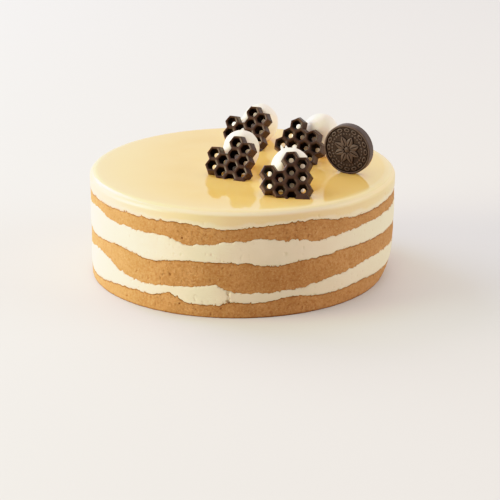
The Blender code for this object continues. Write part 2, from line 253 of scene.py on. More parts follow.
class Shader:
    """A node material built up in short calls."""

    def __init__(self, name):
        self.material = bpy.data.materials.new(name)
        self.material.use_nodes = True
        self.tree = self.material.node_tree
        self.principled = self.tree.nodes["Principled BSDF"]

    def node(self, kind, **inputs):
        made = self.tree.nodes.new(kind)
        for name, value in inputs.items():
            made.inputs[name.replace("_", " ")].default_value = value
        return made

    def link(self, source, target):
        self.tree.links.new(source, target)

    def feed(self, socket, value):
        """Give a socket its value, or a link where the value is a socket too."""
        if isinstance(value, bpy.types.NodeSocket):
            self.link(value, socket)
        else:
            socket.default_value = value

    def set(self, **inputs):
        for name, value in inputs.items():
            self.principled.inputs[name.replace("_", " ")].default_value = value

    def place(self, stretch=(1.0, 1.0, 1.0)):
        """Object coordinates, in metres, stretched."""
        coordinates = self.node("ShaderNodeTexCoord")
        mapping = self.node("ShaderNodeMapping", Scale=stretch)
        self.link(coordinates.outputs["Object"], mapping.inputs["Vector"])
        return mapping.outputs["Vector"]

    def noise(self, vector, scale, detail=3.0, roughness=0.5):
        made = self.node("ShaderNodeTexNoise", Scale=scale, Detail=detail, Roughness=roughness)
        self.link(vector, made.inputs["Vector"])
        return made.outputs["Fac"]

    def voronoi(self, vector, scale):
        made = self.node("ShaderNodeTexVoronoi", Scale=scale)
        self.link(vector, made.inputs["Vector"])
        return made.outputs["Distance"]

    def ramp(self, factor, low, high, to_low=0.0, to_high=1.0):
        made = self.node("ShaderNodeMapRange")
        made.interpolation_type = "SMOOTHSTEP"
        for index, value in enumerate((low, high, to_low, to_high)):
            made.inputs[index + 1].default_value = value
        self.link(factor, made.inputs["Value"])
        return made.outputs["Result"]

    def attribute(self, name):
        made = self.node("ShaderNodeAttribute")
        made.attribute_name = name
        return made.outputs["Fac"]

    def mix(self, factor, first, second):
        """Mix two colours, each a socket or a value, by a factor socket or value."""
        made = self.node("ShaderNodeMix")
        made.data_type = "RGBA"
        self.feed(made.inputs[0], factor)
        self.feed(made.inputs[6], first)
        self.feed(made.inputs[7], second)
        return made.outputs[2]

    def across(self, place, left, middle, right):
        """A colour with a middle, and other tints towards the cake's left and right: painted light and
        shade, for how the light falls on each side.
        """
        side = self.node("ShaderNodeSeparateXYZ")
        self.link(place, side.inputs["Vector"])
        x = side.outputs["X"]
        from_left = self.ramp(x, -SIDE_LIGHT_TINTS_FULL, -SIDE_LIGHT_TINTS_FROM)
        to_right = self.ramp(x, SIDE_LIGHT_TINTS_FROM, SIDE_LIGHT_TINTS_FULL)
        return self.mix(to_right, self.mix(from_left, left, middle), right)

    def math(self, operation, first, second):
        made = self.node("ShaderNodeMath")
        made.operation = operation
        self.feed(made.inputs[0], first)
        self.feed(made.inputs[1], second)
        return made.outputs[0]

    def colour(self, socket):
        self.link(socket, self.principled.inputs["Base Color"])

    def roughness(self, socket):
        self.link(socket, self.principled.inputs["Roughness"])

    def shine(self, socket):
        self.link(socket, self.principled.inputs["Specular IOR Level"])

    def bump(self, height, distance, strength=1.0):
        made = self.node("ShaderNodeBump", Distance=distance, Strength=strength)
        self.link(height, made.inputs["Height"])
        self.link(made.outputs["Normal"], self.principled.inputs["Normal"])


def rgb(red, green, blue):
    return (red, green, blue, 1.0)


def sponge_material():
    """Golden crumb: a fine soft grain, a few pores darkened as painted shade, a browner top edge, and
    each side tinted as painted light.
    """
    shader = Shader("sponge_crumb")
    place = shader.place()
    broad = shader.noise(place, 60.0, 3.0)
    grain = shader.noise(place, 420.0, 5.0, 0.6)
    crumb = shader.noise(place, 760.0, 4.0, 0.6)
    pores = shader.voronoi(place, 300.0)
    body = shader.mix(shader.ramp(broad, 0.3, 0.7), rgb(0.391, 0.169, 0.051), rgb(0.470, 0.209, 0.069))
    body = shader.mix(shader.ramp(grain, 0.3, 0.6), rgb(0.318, 0.122, 0.032), body)
    light = shader.ramp(crumb, 0.50, 0.70, 0.0, 0.5)
    body = shader.mix(light, body, rgb(0.613, 0.338, 0.136))
    # Painted shade: the pores are darkened.
    dark = shader.ramp(pores, 0.04, 0.18, 0.55, 0.0)
    body = shader.mix(dark, body, rgb(0.198, 0.069, 0.018))
    # Painted light and shade: more golden on the cake's lit left side and paler on its right.
    golden = shader.mix(0.35, body, rgb(0.490, 0.245, 0.075))
    pale = shader.mix(0.12, body, rgb(0.550, 0.310, 0.140))
    body = shader.across(place, golden, body, pale)
    # Browner along the top edges from baking; the dark line at the cake's foot is partly browned by
    # baking and partly painted contact shade.
    crust_and_foot_shade = shader.ramp(shader.attribute("crust_and_foot_shade"), 0.0, 0.9, 0.0, 0.9)
    shader.colour(shader.mix(crust_and_foot_shade, body, rgb(0.168, 0.061, 0.018)))
    height = shader.math("ADD", grain, shader.math("MULTIPLY", crumb, 0.5))
    shader.bump(height, 0.4 * MM, 0.6)
    shader.set(
        Roughness=0.85,
        Specular_IOR_Level=0.12,
        Subsurface_Weight=0.12,
        Subsurface_Radius=(0.0012, 0.0007, 0.0004),
        Subsurface_Scale=1.0,
    )
    return shader.material


def cream_material():
    """Pale set cream: scraped almost smooth, faintly mottled, with small pores and a crack darkened as
    painted shade.
    """
    shader = Shader("scraped_cream")
    place = shader.place()
    dragged = shader.place((1.0, 1.0, 4.0))
    broad = shader.noise(place, 55.0, 2.0)
    scrape = shader.noise(dragged, 260.0, 4.0, 0.6)
    pores = shader.voronoi(place, 260.0)
    body = shader.mix(shader.ramp(broad, 0.3, 0.7), rgb(0.744, 0.606, 0.397), rgb(0.787, 0.654, 0.440))
    # Painted light and shade: each side of the cake is tinted for how the light falls on it.
    body = shader.across(place, rgb(0.700, 0.520, 0.400), body, rgb(0.765, 0.655, 0.430))
    shade = shader.ramp(pores, 0.02, 0.10, 0.3, 0.0)
    body = shader.mix(shade, body, rgb(0.565, 0.395, 0.223))
    # Browner near the sponges from smeared crumbs, and darker in the crack as painted shade.
    smear_and_crack_shade = shader.ramp(shader.attribute("smear_and_crack_shade"), 0.0, 1.0, 0.0, 0.6)
    shader.colour(shader.mix(smear_and_crack_shade, body, rgb(0.584, 0.348, 0.145)))
    shader.bump(scrape, 0.3 * MM, 0.5)
    shader.set(
        Roughness=0.55,
        Specular_IOR_Level=0.3,
        Subsurface_Weight=0.15,
        Subsurface_Radius=(0.004, 0.0025, 0.0015),
        Subsurface_Scale=1.0,
    )
    return shader.material


def glaze_material():
    """Honey glaze: deep yellow on top, pale over the rim's crest partly as a painted highlight, cream
    down the wall with painted shade.
    """
    shader = Shader("honey_glaze")
    place = shader.place()
    broad = shader.noise(place, 25.0, 2.0)
    honey = shader.mix(shader.ramp(broad, 0.3, 0.7), rgb(0.862, 0.488, 0.108), rgb(0.893, 0.525, 0.128))
    # Painted light and shade: each colour is tinted differently on the cake's left and right, for how the
    # light falls on them.
    honey = shader.across(place, rgb(0.940, 0.620, 0.200), honey, rgb(0.970, 0.580, 0.135))
    veil = shader.across(
        place, rgb(0.920, 0.640, 0.290), rgb(0.890, 0.650, 0.280), rgb(0.970, 0.710, 0.280)
    )
    # The crest's pale colour is partly a painted highlight.
    crest = shader.across(
        place, rgb(0.765, 0.462, 0.210), rgb(0.880, 0.700, 0.430), rgb(0.970, 0.710, 0.350)
    )
    run_over = shader.across(
        place, rgb(0.735, 0.450, 0.300), rgb(0.770, 0.545, 0.245), rgb(0.780, 0.560, 0.240)
    )
    # The wall's colour is partly painted shade: darkened for a face turned away from the bright back and
    # top.
    wall = shader.across(
        place, rgb(0.715, 0.448, 0.325), rgb(0.800, 0.630, 0.385), rgb(0.800, 0.635, 0.385)
    )
    down = shader.attribute("down")
    top = shader.mix(shader.ramp(down, 0.0, 0.35), honey, veil)
    rim = shader.mix(shader.ramp(down, 0.3, 0.6), top, crest)
    upper = shader.mix(shader.ramp(down, 0.62, 0.8), rim, run_over)
    shader.colour(shader.mix(shader.ramp(down, 0.85, 1.0), upper, wall))
    shader.roughness(shader.ramp(down, 0.2, 0.6, 0.06, 0.40))
    ripple = shader.noise(place, 18.0, 1.0)
    shader.bump(ripple, 0.25 * MM, 0.25)
    shader.set(
        Specular_IOR_Level=0.5,
        Subsurface_Weight=0.1,
        Subsurface_Radius=(0.006, 0.003, 0.001),
        Subsurface_Scale=1.0,
    )
    return shader.material


def chocolate_material():
    """Dark moulded chocolate: a soft sheen on its ridges, blacker and duller down its bores as painted
    shade.
    """
    shader = Shader("dark_chocolate")
    place = shader.place()
    bloom = shader.noise(place, 180.0, 3.0)
    fine = shader.noise(place, 900.0, 2.0)
    body = shader.mix(shader.ramp(bloom, 0.35, 0.7), rgb(0.028, 0.0105, 0.005), rgb(0.042, 0.0175, 0.009))
    deep = shader.attribute("deep")
    # Painted shade: near black deeper down the bores, where the sheen is dulled too.
    painted_shade = shader.ramp(deep, 0.0, 0.16, 0.0, 0.95)
    shader.colour(shader.mix(painted_shade, body, rgb(0.004, 0.0015, 0.001)))
    shader.roughness(shader.ramp(bloom, 0.3, 0.7, 0.34, 0.48))
    shader.shine(shader.ramp(deep, 0.0, 0.16, 0.26, 0.02))
    shader.bump(fine, 0.1 * MM, 0.4)
    # The sheen is tinted brown as painted light: it stands for the warm light that the chocolate
    # reflects.
    shader.set(Specular_Tint=rgb(1.0, 0.88, 0.74))
    return shader.material


def medallion_material():
    """Drier chocolate: a fine grain, a greyish bloom, and near-black painted shade in the hollows and
    along the lines of its relief.
    """
    shader = Shader("medallion_chocolate")
    place = shader.place()
    bloom = shader.noise(place, 220.0, 3.0)
    grain = shader.noise(place, 1400.0, 3.0, 0.6)
    body = shader.mix(shader.ramp(bloom, 0.3, 0.7), rgb(0.046, 0.028, 0.021), rgb(0.063, 0.041, 0.033))
    body = shader.mix(shader.ramp(grain, 0.55, 0.75, 0.0, 0.5), body, rgb(0.10, 0.073, 0.061))
    deep = shader.attribute("deep")
    # Painted shade from the darkness that the relief gives each point: near black and duller.
    painted_shade = shader.ramp(deep, 0.0, 1.0, 0.0, 0.95)
    shader.colour(shader.mix(painted_shade, body, rgb(0.005, 0.002, 0.001)))
    shader.shine(shader.ramp(deep, 0.0, 1.0, 0.25, 0.02))
    shader.bump(grain, 0.2 * MM, 0.6)
    shader.set(Roughness=0.55)
    return shader.material


def whipped_material():
    """Smooth piped cream."""
    shader = Shader("piped_cream")
    place = shader.place()
    broad = shader.noise(place, 90.0, 2.0)
    fine = shader.noise(place, 500.0, 3.0)
    shader.colour(
        shader.mix(shader.ramp(broad, 0.3, 0.7), rgb(0.90, 0.78, 0.60), rgb(0.93, 0.83, 0.66))
    )
    shader.bump(fine, 0.15 * MM, 0.3)
    shader.set(
        Roughness=0.45,
        Specular_IOR_Level=0.35,
        Subsurface_Weight=0.4,
        Subsurface_Radius=(0.007, 0.0065, 0.006),
        Subsurface_Scale=1.0,
    )
    return shader.material


# Shapes


def side_point(angle, height, out=0.0):
    """A point on the cake's side, moved out by a little. The angle is in radians."""
    down = down_share(angle, height)
    radius = CAKE_RADIUS - (CAKE_RADIUS - BASE_RADIUS) * down + out
    x = BASE_SHIFT.x * down + radius * math.sin(angle)
    y = BASE_SHIFT.y * down - radius * math.cos(angle)
    return Vector((x, y, height))


def smooth_step(value):
    value = max(0.0, min(1.0, value))
    return value * value * (3.0 - 2.0 * value)


def down_share(angle, height):
    """How much of the base's lean a point of the side has, from 1 at the base."""
    tuck = 1.0 + TUCK * max(0.0, math.sin(angle))
    return (1.0 - min(1.0, max(0.0, height) / RIM_FOOT)) ** tuck


def azimuth_index(place):
    """Which of the solid's turns a point of the side is on."""
    angle = math.atan2(place.x, -place.y)
    for _ in range(4):
        shift = BASE_SHIFT * down_share(angle, place.z)
        angle = math.atan2(place.x - shift.x, shift.y - place.y)
    return round(angle / (2 * math.pi) * SOLID_AROUND) % SOLID_AROUND


def outline_heights(node):
    """The height of a solid's upper outer edge, read at every turn."""
    known = [0.0] * SOLID_AROUND
    for vert in node.data.vertices:
        if vert.co.xy.length > SIDE_SHARE * CAKE_RADIUS:
            index = azimuth_index(vert.co)
            known[index] = max(known[index], vert.co.z)
    result = []
    for i in range(AROUND):
        index, t = divmod(i * SOLID_AROUND / AROUND, 1.0)
        a, b, c, d = (known[(int(index) + k) % SOLID_AROUND] for k in (-1, 0, 1, 2))
        curve = 2 * a - 5 * b + 4 * c - d + t * (3 * (b - c) + d - a)
        result.append(b + 0.5 * t * (c - a + t * curve))
    return result


def ragged(heights, wave, crumb, seed):
    """An edge's heights with irregular rises and falls, and crumbs pushed out of it."""
    shift = Vector((seed, 0.5 * seed, 0.0))
    result = []
    for turn, height in zip(TURNS, heights):
        place = side_point(turn, height)
        at = Vector((place.x, place.y, 0.0)) / MM
        waves = noise.noise(at / 6.0 + shift) + 0.7 * noise.noise(at / 2.4 + shift)
        waves += 0.35 * noise.noise(at / 1.2 + shift)
        rare = noise.noise(at / 13.0 - shift)
        pushed = max(0.0, noise.noise(at / 1.5 - shift) - 0.22 + 0.3 * rare)
        result.append(height + wave * waves + crumb * pushed)
    return result


def add_object(name, data):
    """A new object in the scene."""
    obj = bpy.data.objects.new(name, data)
    bpy.context.scene.collection.objects.link(obj)
    return obj


def dress(obj, slot, *nodes):
    """Fix a piece to the cake, in place of these solids."""
    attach(obj, "root")
    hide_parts(*nodes)


def closed_body(name, rows, attribute=None, values=None):
    """A closed body from rows of points, bottom to top, with flat ends."""
    count = len(rows[0])
    points = [point for row in rows for point in row]
    faces = []
    for k in range(len(rows) - 1):
        for i in range(count):
            j = (i + 1) % count
            faces.append((k * count + i, k * count + j, (k + 1) * count + j, (k + 1) * count + i))
    last = (len(rows) - 1) * count
    faces.append(tuple(reversed(range(count))))
    faces.append(tuple(range(last, last + count)))
    mesh = bpy.data.meshes.new(name)
    mesh.from_pydata(points, [], faces)
    mesh.shade_smooth()
    if attribute:
        made = mesh.attributes.new(attribute, "FLOAT", "POINT")
        made.data.foreach_set("value", [value for row in values for value in row])
    return add_object(name, mesh)


def core_row(heights):
    """The flat middle of a layer's face, which its neighbour hides."""
    level = sum(heights) / len(heights)
    points = [side_point(turn, level) for turn in TURNS]
    return [(point.x * CORE, point.y * CORE, level) for point in points]


def crumb_relief(place, t):
    """How far the sponge's side stands out: crumbs, dents and a sunken edge."""
    coarse = noise.noise(place / (6.0 * MM))
    middle = noise.noise(place / (1.7 * MM))
    fine = noise.noise(place / (0.8 * MM))
    pore = max(0.0, noise.noise(place / (1.8 * MM) + Vector((7, 7, 7))) - 0.42)
    edge = min(t, 1.0 - t)
    lip = math.exp(-((edge / 0.04) ** 2))
    return (0.16 * coarse + 0.13 * middle + 0.12 * fine - 2.2 * pore - 0.30 * lip - 0.40) * MM


def notch(place):
    """How deep, in mm, the lower cream is broken away near the middle of the front."""
    if place.z > NOTCH_TOP:
        return 0.0
    wander = NOTCH_WANDER * noise.noise(place / (2.0 * MM))
    across = CAKE_RADIUS * (math.atan2(place.x, -place.y) - NOTCH_AZIMUTH) - wander
    ragged_floor = 0.7 + 1.2 * noise.noise(place / (0.8 * MM))
    return math.exp(-((across / NOTCH_HALF_WIDTH) ** 2)) * ragged_floor


def cream_relief(place, t):
    """How far the cream's side stands out: a soft scrape and rounded edges."""
    broad = noise.noise(place / (16.0 * MM))
    dragged = Vector((place.x, place.y, 3.0 * place.z))
    scrape = noise.noise(dragged / (3.5 * MM))
    pit = max(0.0, noise.noise(place / (2.2 * MM) + Vector((3, 9, 1))) - 0.48)
    edge = min(t, 1.0 - t)
    lip = math.exp(-((edge / 0.05) ** 2))
    return (0.12 * broad + 0.05 * scrape - 1.6 * pit - 0.30 * lip - 0.12 - notch(place)) * MM


def add_layer(name, kind, low, high, material):
    """One layer of sponge or cream: a fine wavy side closed by flat faces."""
    is_sponge = kind == "sponge"
    relief = crumb_relief if is_sponge else cream_relief
    thickness = max(top - bottom for bottom, top in zip(low, high))
    steps = math.ceil(thickness / (SPONGE_ROW if is_sponge else CREAM_ROW))
    rows = [core_row(low)]
    values = [[0.0] * AROUND]
    for k in range(steps + 1):
        t = k / steps
        row = []
        shades = []
        for turn, bottom, top in zip(TURNS, low, high):
            height = bottom + (top - bottom) * t
            place = side_point(turn, height)
            row.append(side_point(turn, height, relief(place, t)))
            below_top = top - height
            above_bottom = height - bottom
            if is_sponge:
                wander = 0.85 + 0.9 * noise.noise(place / (4.0 * MM))
                baked = wander * math.exp(-((below_top / CRUST) ** 2))
                # The line at the cake's foot is partly browned by baking and partly painted contact
                # shade.
                shades.append(max(baked, math.exp(-((height / CRUST) ** 2))))
            else:
                # Crumbs smeared near the edges, and painted shade in the crack.
                near = min(below_top, above_bottom)
                speck = max(0.0, noise.noise(place / (1.3 * MM)))
                shades.append(speck * math.exp(-near / (1.6 * MM)) + 0.8 * notch(place))
        rows.append(row)
        values.append(shades)
    rows.append(core_row(high))
    values.append([0.0] * AROUND)
    attribute = "crust_and_foot_shade" if is_sponge else "smear_and_crack_shade"
    obj = closed_body(name + "_side", rows, attribute, values)
    obj.data.materials.append(material)
    dress(obj, kind, name)


def add_glazed_top(low, material):
    """The cream above the top sponge and the glaze poured over it, in one skin.

    "down" is how far down a place lies: 0 in the middle of the top, 0.2 where the rim
    starts to round off, 0.8 at the rim's foot and 1 at the foot of the wall.
    """
    rows = [core_row(low)]
    values = [[1.0] * AROUND]
    for k in range(WALL_STEPS + 1):
        t = k / WALL_STEPS
        row = []
        shades = []
        for turn, bottom in zip(TURNS, low):
            height = bottom + (RIM_FOOT - bottom) * t
            place = side_point(turn, height)
            fade = 1.0 - smooth_step((t - 0.6) / 0.4)
            row.append(side_point(turn, height, fade * cream_relief(place, 0.5 * t)))
            wander = 0.3 * noise.noise(place / (9 * MM)) * math.sin(math.pi * t)
            shades.append(1.0 - 0.2 * smooth_step(1.1 * t + wander))
        rows.append(row)
        values.append(shades)
    for k in range(1, RIM_STEPS + 1):
        angle = 0.5 * math.pi * k / RIM_STEPS
        radius = CAKE_RADIUS - RIM_REACH * (1.0 - math.cos(angle))
        height = RIM_FOOT + RIM_RADIUS * math.sin(angle)
        rows.append([(radius * math.sin(t), -radius * math.cos(t), height) for t in TURNS])
        values.append([0.8 - 0.6 * math.sin(angle) ** 2] * AROUND)
    for radius, down in TOP_RINGS:
        out = radius * MM
        rows.append([(out * math.sin(t), -out * math.cos(t), CAKE_HEIGHT) for t in TURNS])
        values.append([down * (0.6 + 0.4 * math.cos(t + math.radians(45))) for t in TURNS])
    obj = closed_body("glazed_top", rows, "down", values)
    obj.data.materials.append(material)
    dress(obj, "honey_glaze", "cream_top", "glaze")


def add_crumbs(edges, material):
    """Loose crumbs stuck to the side along the edges, and more in the notch."""
    rng = random.Random(CRUMB_SEED)
    bm = bmesh.new()
    places = []
    for _ in range(CRUMBS):
        heights = rng.choice(edges)
        index = rng.randrange(AROUND)
        places.append((index, heights[index] + rng.gauss(0.0, 0.8 * MM)))
    notch_index = round(NOTCH_AZIMUTH / (2 * math.pi) * AROUND)
    foot = edges[0][notch_index]
    for _ in range(NOTCH_CRUMBS):
        places.append((notch_index + rng.randint(-5, 5), foot + rng.uniform(-0.5, 3.5) * MM))
    for index, height in places:
        size = rng.uniform(*CRUMB_SIZES) * rng.uniform(0.6, 1.0)
        centre = side_point(2 * math.pi * index / AROUND, height, -size - 0.05 * MM)
        made = bmesh.ops.create_icosphere(bm, subdivisions=2, radius=size)
        shift = Vector((index, 3.0 * height / MM, 0.0))
        for vert in made["verts"]:
            lump = 1.0 + 0.5 * noise.noise(vert.co / size + shift)
            vert.co = centre + vert.co * min(lump, 1.05)
    mesh = bpy.data.meshes.new("crumbs")
    bm.to_mesh(mesh)
    bm.free()
    mesh.shade_smooth()
    obj = add_object("crumbs", mesh)
    obj.data.materials.append(material)
    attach(obj, "root")


def pose(turn, lean, roll):
    """From lying flat, face up, to standing with the face to the front."""
    return (
        Matrix.Rotation(math.radians(turn), 4, "Z")
        @ Matrix.Rotation(math.radians(90 - lean), 4, "X")
        @ Matrix.Rotation(math.radians(roll), 4, "Z")
    )


def stand_on_glaze(bm, name, smooth_under, material):
    """Cut a chocolate off at the glaze and turn it into an object."""
    geometry = bm.verts[:] + bm.edges[:] + bm.faces[:]
    level = Vector((0.0, 0.0, CHOCOLATE_FOOT))
    made = bmesh.ops.bisect_plane(
        bm, geom=geometry, plane_co=level, plane_no=(0, 0, 1), clear_inner=True
    )
    edges = [item for item in made["geom_cut"] if isinstance(item, bmesh.types.BMEdge)]
    bmesh.ops.triangle_fill(bm, edges=edges, use_beauty=True)
    bmesh.ops.recalc_face_normals(bm, faces=bm.faces[:])
    mesh = bpy.data.meshes.new(name)
    bm.to_mesh(mesh)
    bm.free()
    mesh.shade_smooth()
    mesh.set_sharp_from_angle(angle=math.radians(smooth_under))
    obj = add_object(name, mesh)
    obj.data.materials.append(material)
    return obj


def heart_cells(broken):
    """Cell centres of a heart, tip down: two lobes over rows that lose a cell each."""
    cells = [(-1.0, 0.0), (1.0, 0.0)]
    for row in range(HEART_ROWS):
        count = HEART_ROWS - row
        for i in range(count):
            cells.append((i - (count - 1) / 2, -(row + 1) * math.sqrt(3) / 2))
    if broken:
        tip, beside_tip = cells[-1], cells[-3]
        cells = [cell for cell in cells if cell not in (tip, beside_tip)]
    return [Vector((x, y)) * PITCH for x, y in cells]


def cell_point(cell, index, share):
    """A point of a cell, from its hexagonal border (share 0) to its round hole (1)."""
    turn = 2 * math.pi * index / CELL_AROUND
    sixth = math.radians(60)
    off_side = (turn + sixth / 2) % sixth - sixth / 2
    border = PITCH / 2 / math.cos(off_side)
    out = border + (HOLE_RADIUS - border) * share
    return cell + Vector((math.cos(turn), math.sin(turn))) * out


def bore_depth(share):
    """How deep a cell's surface lies, by its share of the way in to the hole."""
    if share <= RIDGE_SHARE:
        return RIDGE_DROP * (1.0 - math.sqrt(1.0 - (share / RIDGE_SHARE) ** 2))
    inner = (share - RIDGE_SHARE) / (1.0 - RIDGE_SHARE)
    return RIDGE_DROP + (BORE_DEPTH - RIDGE_DROP) * (1.0 - (1.0 - inner) ** 1.6)


def bore_shares():
    """Shares for the rings of a cell, closer together where the surface bends."""
    quarter = math.pi / 2
    ridge = [RIDGE_SHARE * math.sin(quarter * k / RIDGE_STEPS) for k in range(RIDGE_STEPS + 1)]
    wall = [RIDGE_SHARE + (1.0 - RIDGE_SHARE) * k / BORE_STEPS for k in range(1, BORE_STEPS + 1)]
    return ridge + wall


def add_rings(bm, rings, close_last=False):
    """Faces between rings of points with the same count, each ring closed."""
    made = [[bm.verts.new(point) for point in ring] for ring in rings]
    for first, second in zip(made, made[1:]):
        for i in range(len(first)):
            j = (i + 1) % len(first)
            bm.faces.new((first[i], first[j], second[j], second[i]))
    if close_last:
        bm.faces.new(made[-1])


def cell_ring(cell, share, z):
    points = [cell_point(cell, index, share) for index in range(CELL_AROUND)]
    return [Vector((point.x, point.y, z)) for point in points]


def add_cell(bm, cell, standing):
    """One cell: a bore with a round hole, or a dimple where the glaze is behind it."""
    behind = standing @ Vector((cell.x, cell.y, 0.0))
    in_front = standing @ Vector((cell.x, cell.y, PLATE_DEPTH))
    if in_front.z < CHOCOLATE_FOOT:
        add_rings(bm, [cell_ring(cell, 0.0, PLATE_DEPTH)], close_last=True)
        add_rings(bm, [cell_ring(cell, 0.0, 0.0)], close_last=True)
        return
    is_dimple = behind.z < CHOCOLATE_FOOT
    scale = DIMPLE_DEPTH / BORE_DEPTH if is_dimple else 1.0
    rings = []
    for share in bore_shares():
        rings.append(cell_ring(cell, share, PLATE_DEPTH - scale * bore_depth(share)))
    if is_dimple:
        add_rings(bm, rings, close_last=True)
        add_rings(bm, [cell_ring(cell, 0.0, 0.0)], close_last=True)
        return
    rings.append(cell_ring(cell, 1.0, 0.2 * MM))
    rings.append(cell_ring(cell, 0.92, 0.0))
    rings.append(cell_ring(cell, 0.0, 0.0))
    add_rings(bm, rings)


def heart_outline(cells):
    """The points round a heart's cells, in order, anticlockwise."""
    points = {}
    sides = set()
    for cell in cells:
        keys = []
        for index in range(CELL_AROUND):
            point = cell_point(cell, index, 0.0)
            # Adding zero makes a minus zero the same as zero
            key = (round(point.x / MM, 2) + 0.0, round(point.y / MM, 2) + 0.0)
            points[key] = point
            keys.append(key)
        sides.update(zip(keys, keys[1:] + keys[:1]))
    onward = {a: b for a, b in sides if (b, a) not in sides}
    first = key = min(onward)
    ring = []
    while not ring or key != first:
        ring.append(points[key])
        key = onward[key]
    return ring


def widened(ring, by, z):
    """A ring of points moved out, so that every side moves by this much."""
    moved = []
    for i, corner in enumerate(ring):
        before = (corner - ring[i - 1]).normalized()
        after = (ring[(i + 1) % len(ring)] - corner).normalized()
        out = Vector((before.y + after.y, -before.x - after.x))
        point = corner + out * by / (1.0 + before.dot(after))
        moved.append(Vector((point.x, point.y, z)))
    return moved


def plate_standing(place, turn, lean, roll):
    """From a plate lying with its back at z = 0 to where it stands on the cake."""
    return Matrix.Translation(Vector(place) * MM) @ pose(turn, lean, roll)


def add_heart(node_name, standing, cells, seed, material):
    """A honeycomb plate: rounded ridges, bores, and sides that widen to the back."""
    bm = bmesh.new()
    for cell in cells:
        add_cell(bm, cell, standing)
    outline = heart_outline(cells)
    rings = []
    for depth in SIDE_DEPTHS:
        rounding = OUTER_ROUNDING * (1.0 - math.exp(-depth / ROUNDED_DEPTH))
        draft = (BACK_RIM - OUTER_ROUNDING) * depth * MM / PLATE_DEPTH
        rings.append(widened(outline, rounding + draft, PLATE_DEPTH - depth * MM))
    rings.append(widened(outline, BACK_RIM - 0.25 * MM, 0.0))
    rings.append(widened(outline, 0.0, 0.0))
    add_rings(bm, rings)
    bmesh.ops.remove_doubles(bm, verts=bm.verts[:], dist=0.02 * MM)
    # How deep each point lies in its cell, which the chocolate turns into painted shade.
    deep = bm.verts.layers.float.new("deep")
    shift = Vector((13.0 * seed, 0.0, 0.0))
    for vert in bm.verts:
        vert[deep] = 0.0
        nearest = min((vert.co.xy - cell).length for cell in cells)
        if nearest < PITCH / 2:
            vert[deep] = (PLATE_DEPTH - vert.co.z) / PLATE_DEPTH
        vert.co += CHOCOLATE_WAVE * noise.noise_vector(vert.co / CHOCOLATE_WAVE_LENGTH + shift)
    bm.transform(standing)
    obj = stand_on_glaze(bm, node_name + "_chocolate", 40, material)
    dress(obj, "dark_chocolate", node_name)


def ball_point(centre, radius, foot, angle, turn, tips, shift):
    """A point of a piped ball: swells, a spiral fold and tips over a narrower foot."""
    flat = max(0.002, math.cos(angle))
    direction = Vector((math.cos(turn) * flat, math.sin(turn) * flat, math.sin(angle)))
    saw = (2.0 * turn / (2 * math.pi) + 0.6 * angle + shift.x) % 1.0
    fold = DOLLOP_FOLD * (saw - smooth_step((saw - 0.85) / 0.15)) * flat
    swell = DOLLOP_SWELL * noise.noise(direction * 2.0 + shift)
    out = radius + swell + fold
    for tip in tips:
        aim = Vector(tip) * MM
        off = direction.angle(aim)
        out += (aim.length - radius) * math.exp(-((off / TIP_WIDTH) ** 2))
    point = centre + direction * out
    if angle < 0:
        point.z = centre.z + (centre.z - foot) * math.sin(angle) / math.sin(DOLLOP_FOOT)
    return point


def backing_places(cells):
    """Places all over a plate's back: its cells, and the middles between neighbours."""
    places = list(cells)
    for i, first in enumerate(cells):
        for second in cells[:i]:
            if (first - second).length < 1.1 * PITCH:
                places.append((first + second) / 2)
    return places


def level_middle(centre, point):
    """The ball's middle, or the place below it that is level with a lower point."""
    return Vector((centre.x, centre.y, min(centre.z, point.z)))


def spread_share(point, centre, furthest, plate, backing):
    """How many times further out the cream lies here, where its plate hides it."""
    facing = plate.to_3x3().col[2].normalized()
    middle = level_middle(centre, point)
    out = (point - middle).length
    direction = (point - middle) / out
    towards = direction.dot(facing)
    if towards < GLANCING:
        return 1.0
    reach = ((plate.translation - middle).dot(facing) - PRESSED_GAP) / towards
    far = (furthest ** -SPREAD_CORNER + reach ** -SPREAD_CORNER) ** (-1 / SPREAD_CORNER)
    moved = middle + direction * far
    distance = (plate.translation - moved).dot(facing) / TO_VIEWER.dot(facing)
    on_plate = (plate.inverted() @ (moved + distance * TO_VIEWER)).xy
    nearest = min((on_plate - place).length for place in backing)
    hidden = 1.0 - smooth_step((nearest - HIDDEN_WITHIN) / HIDDEN_FADE)
    return 1.0 + hidden * (far / out - 1.0)


def evened(before, here, after):
    """Each number moved half the way to the mean of its two neighbours."""
    return [(a + 2 * b + c) / 4 for a, b, c in zip(before, here, after)]


def softened(rows, passes):
    """Rows of numbers, each closed on itself, with the steps between them smoothed."""
    for _ in range(passes):
        below = rows[:1] + rows[:-1]
        above = rows[1:] + rows[-1:]
        rows = [evened(*three) for three in zip(below, rows, above)]
        rows = [evened(row[-1:] + row[:-1], row, row[1:] + row[:1]) for row in rows]
    return rows


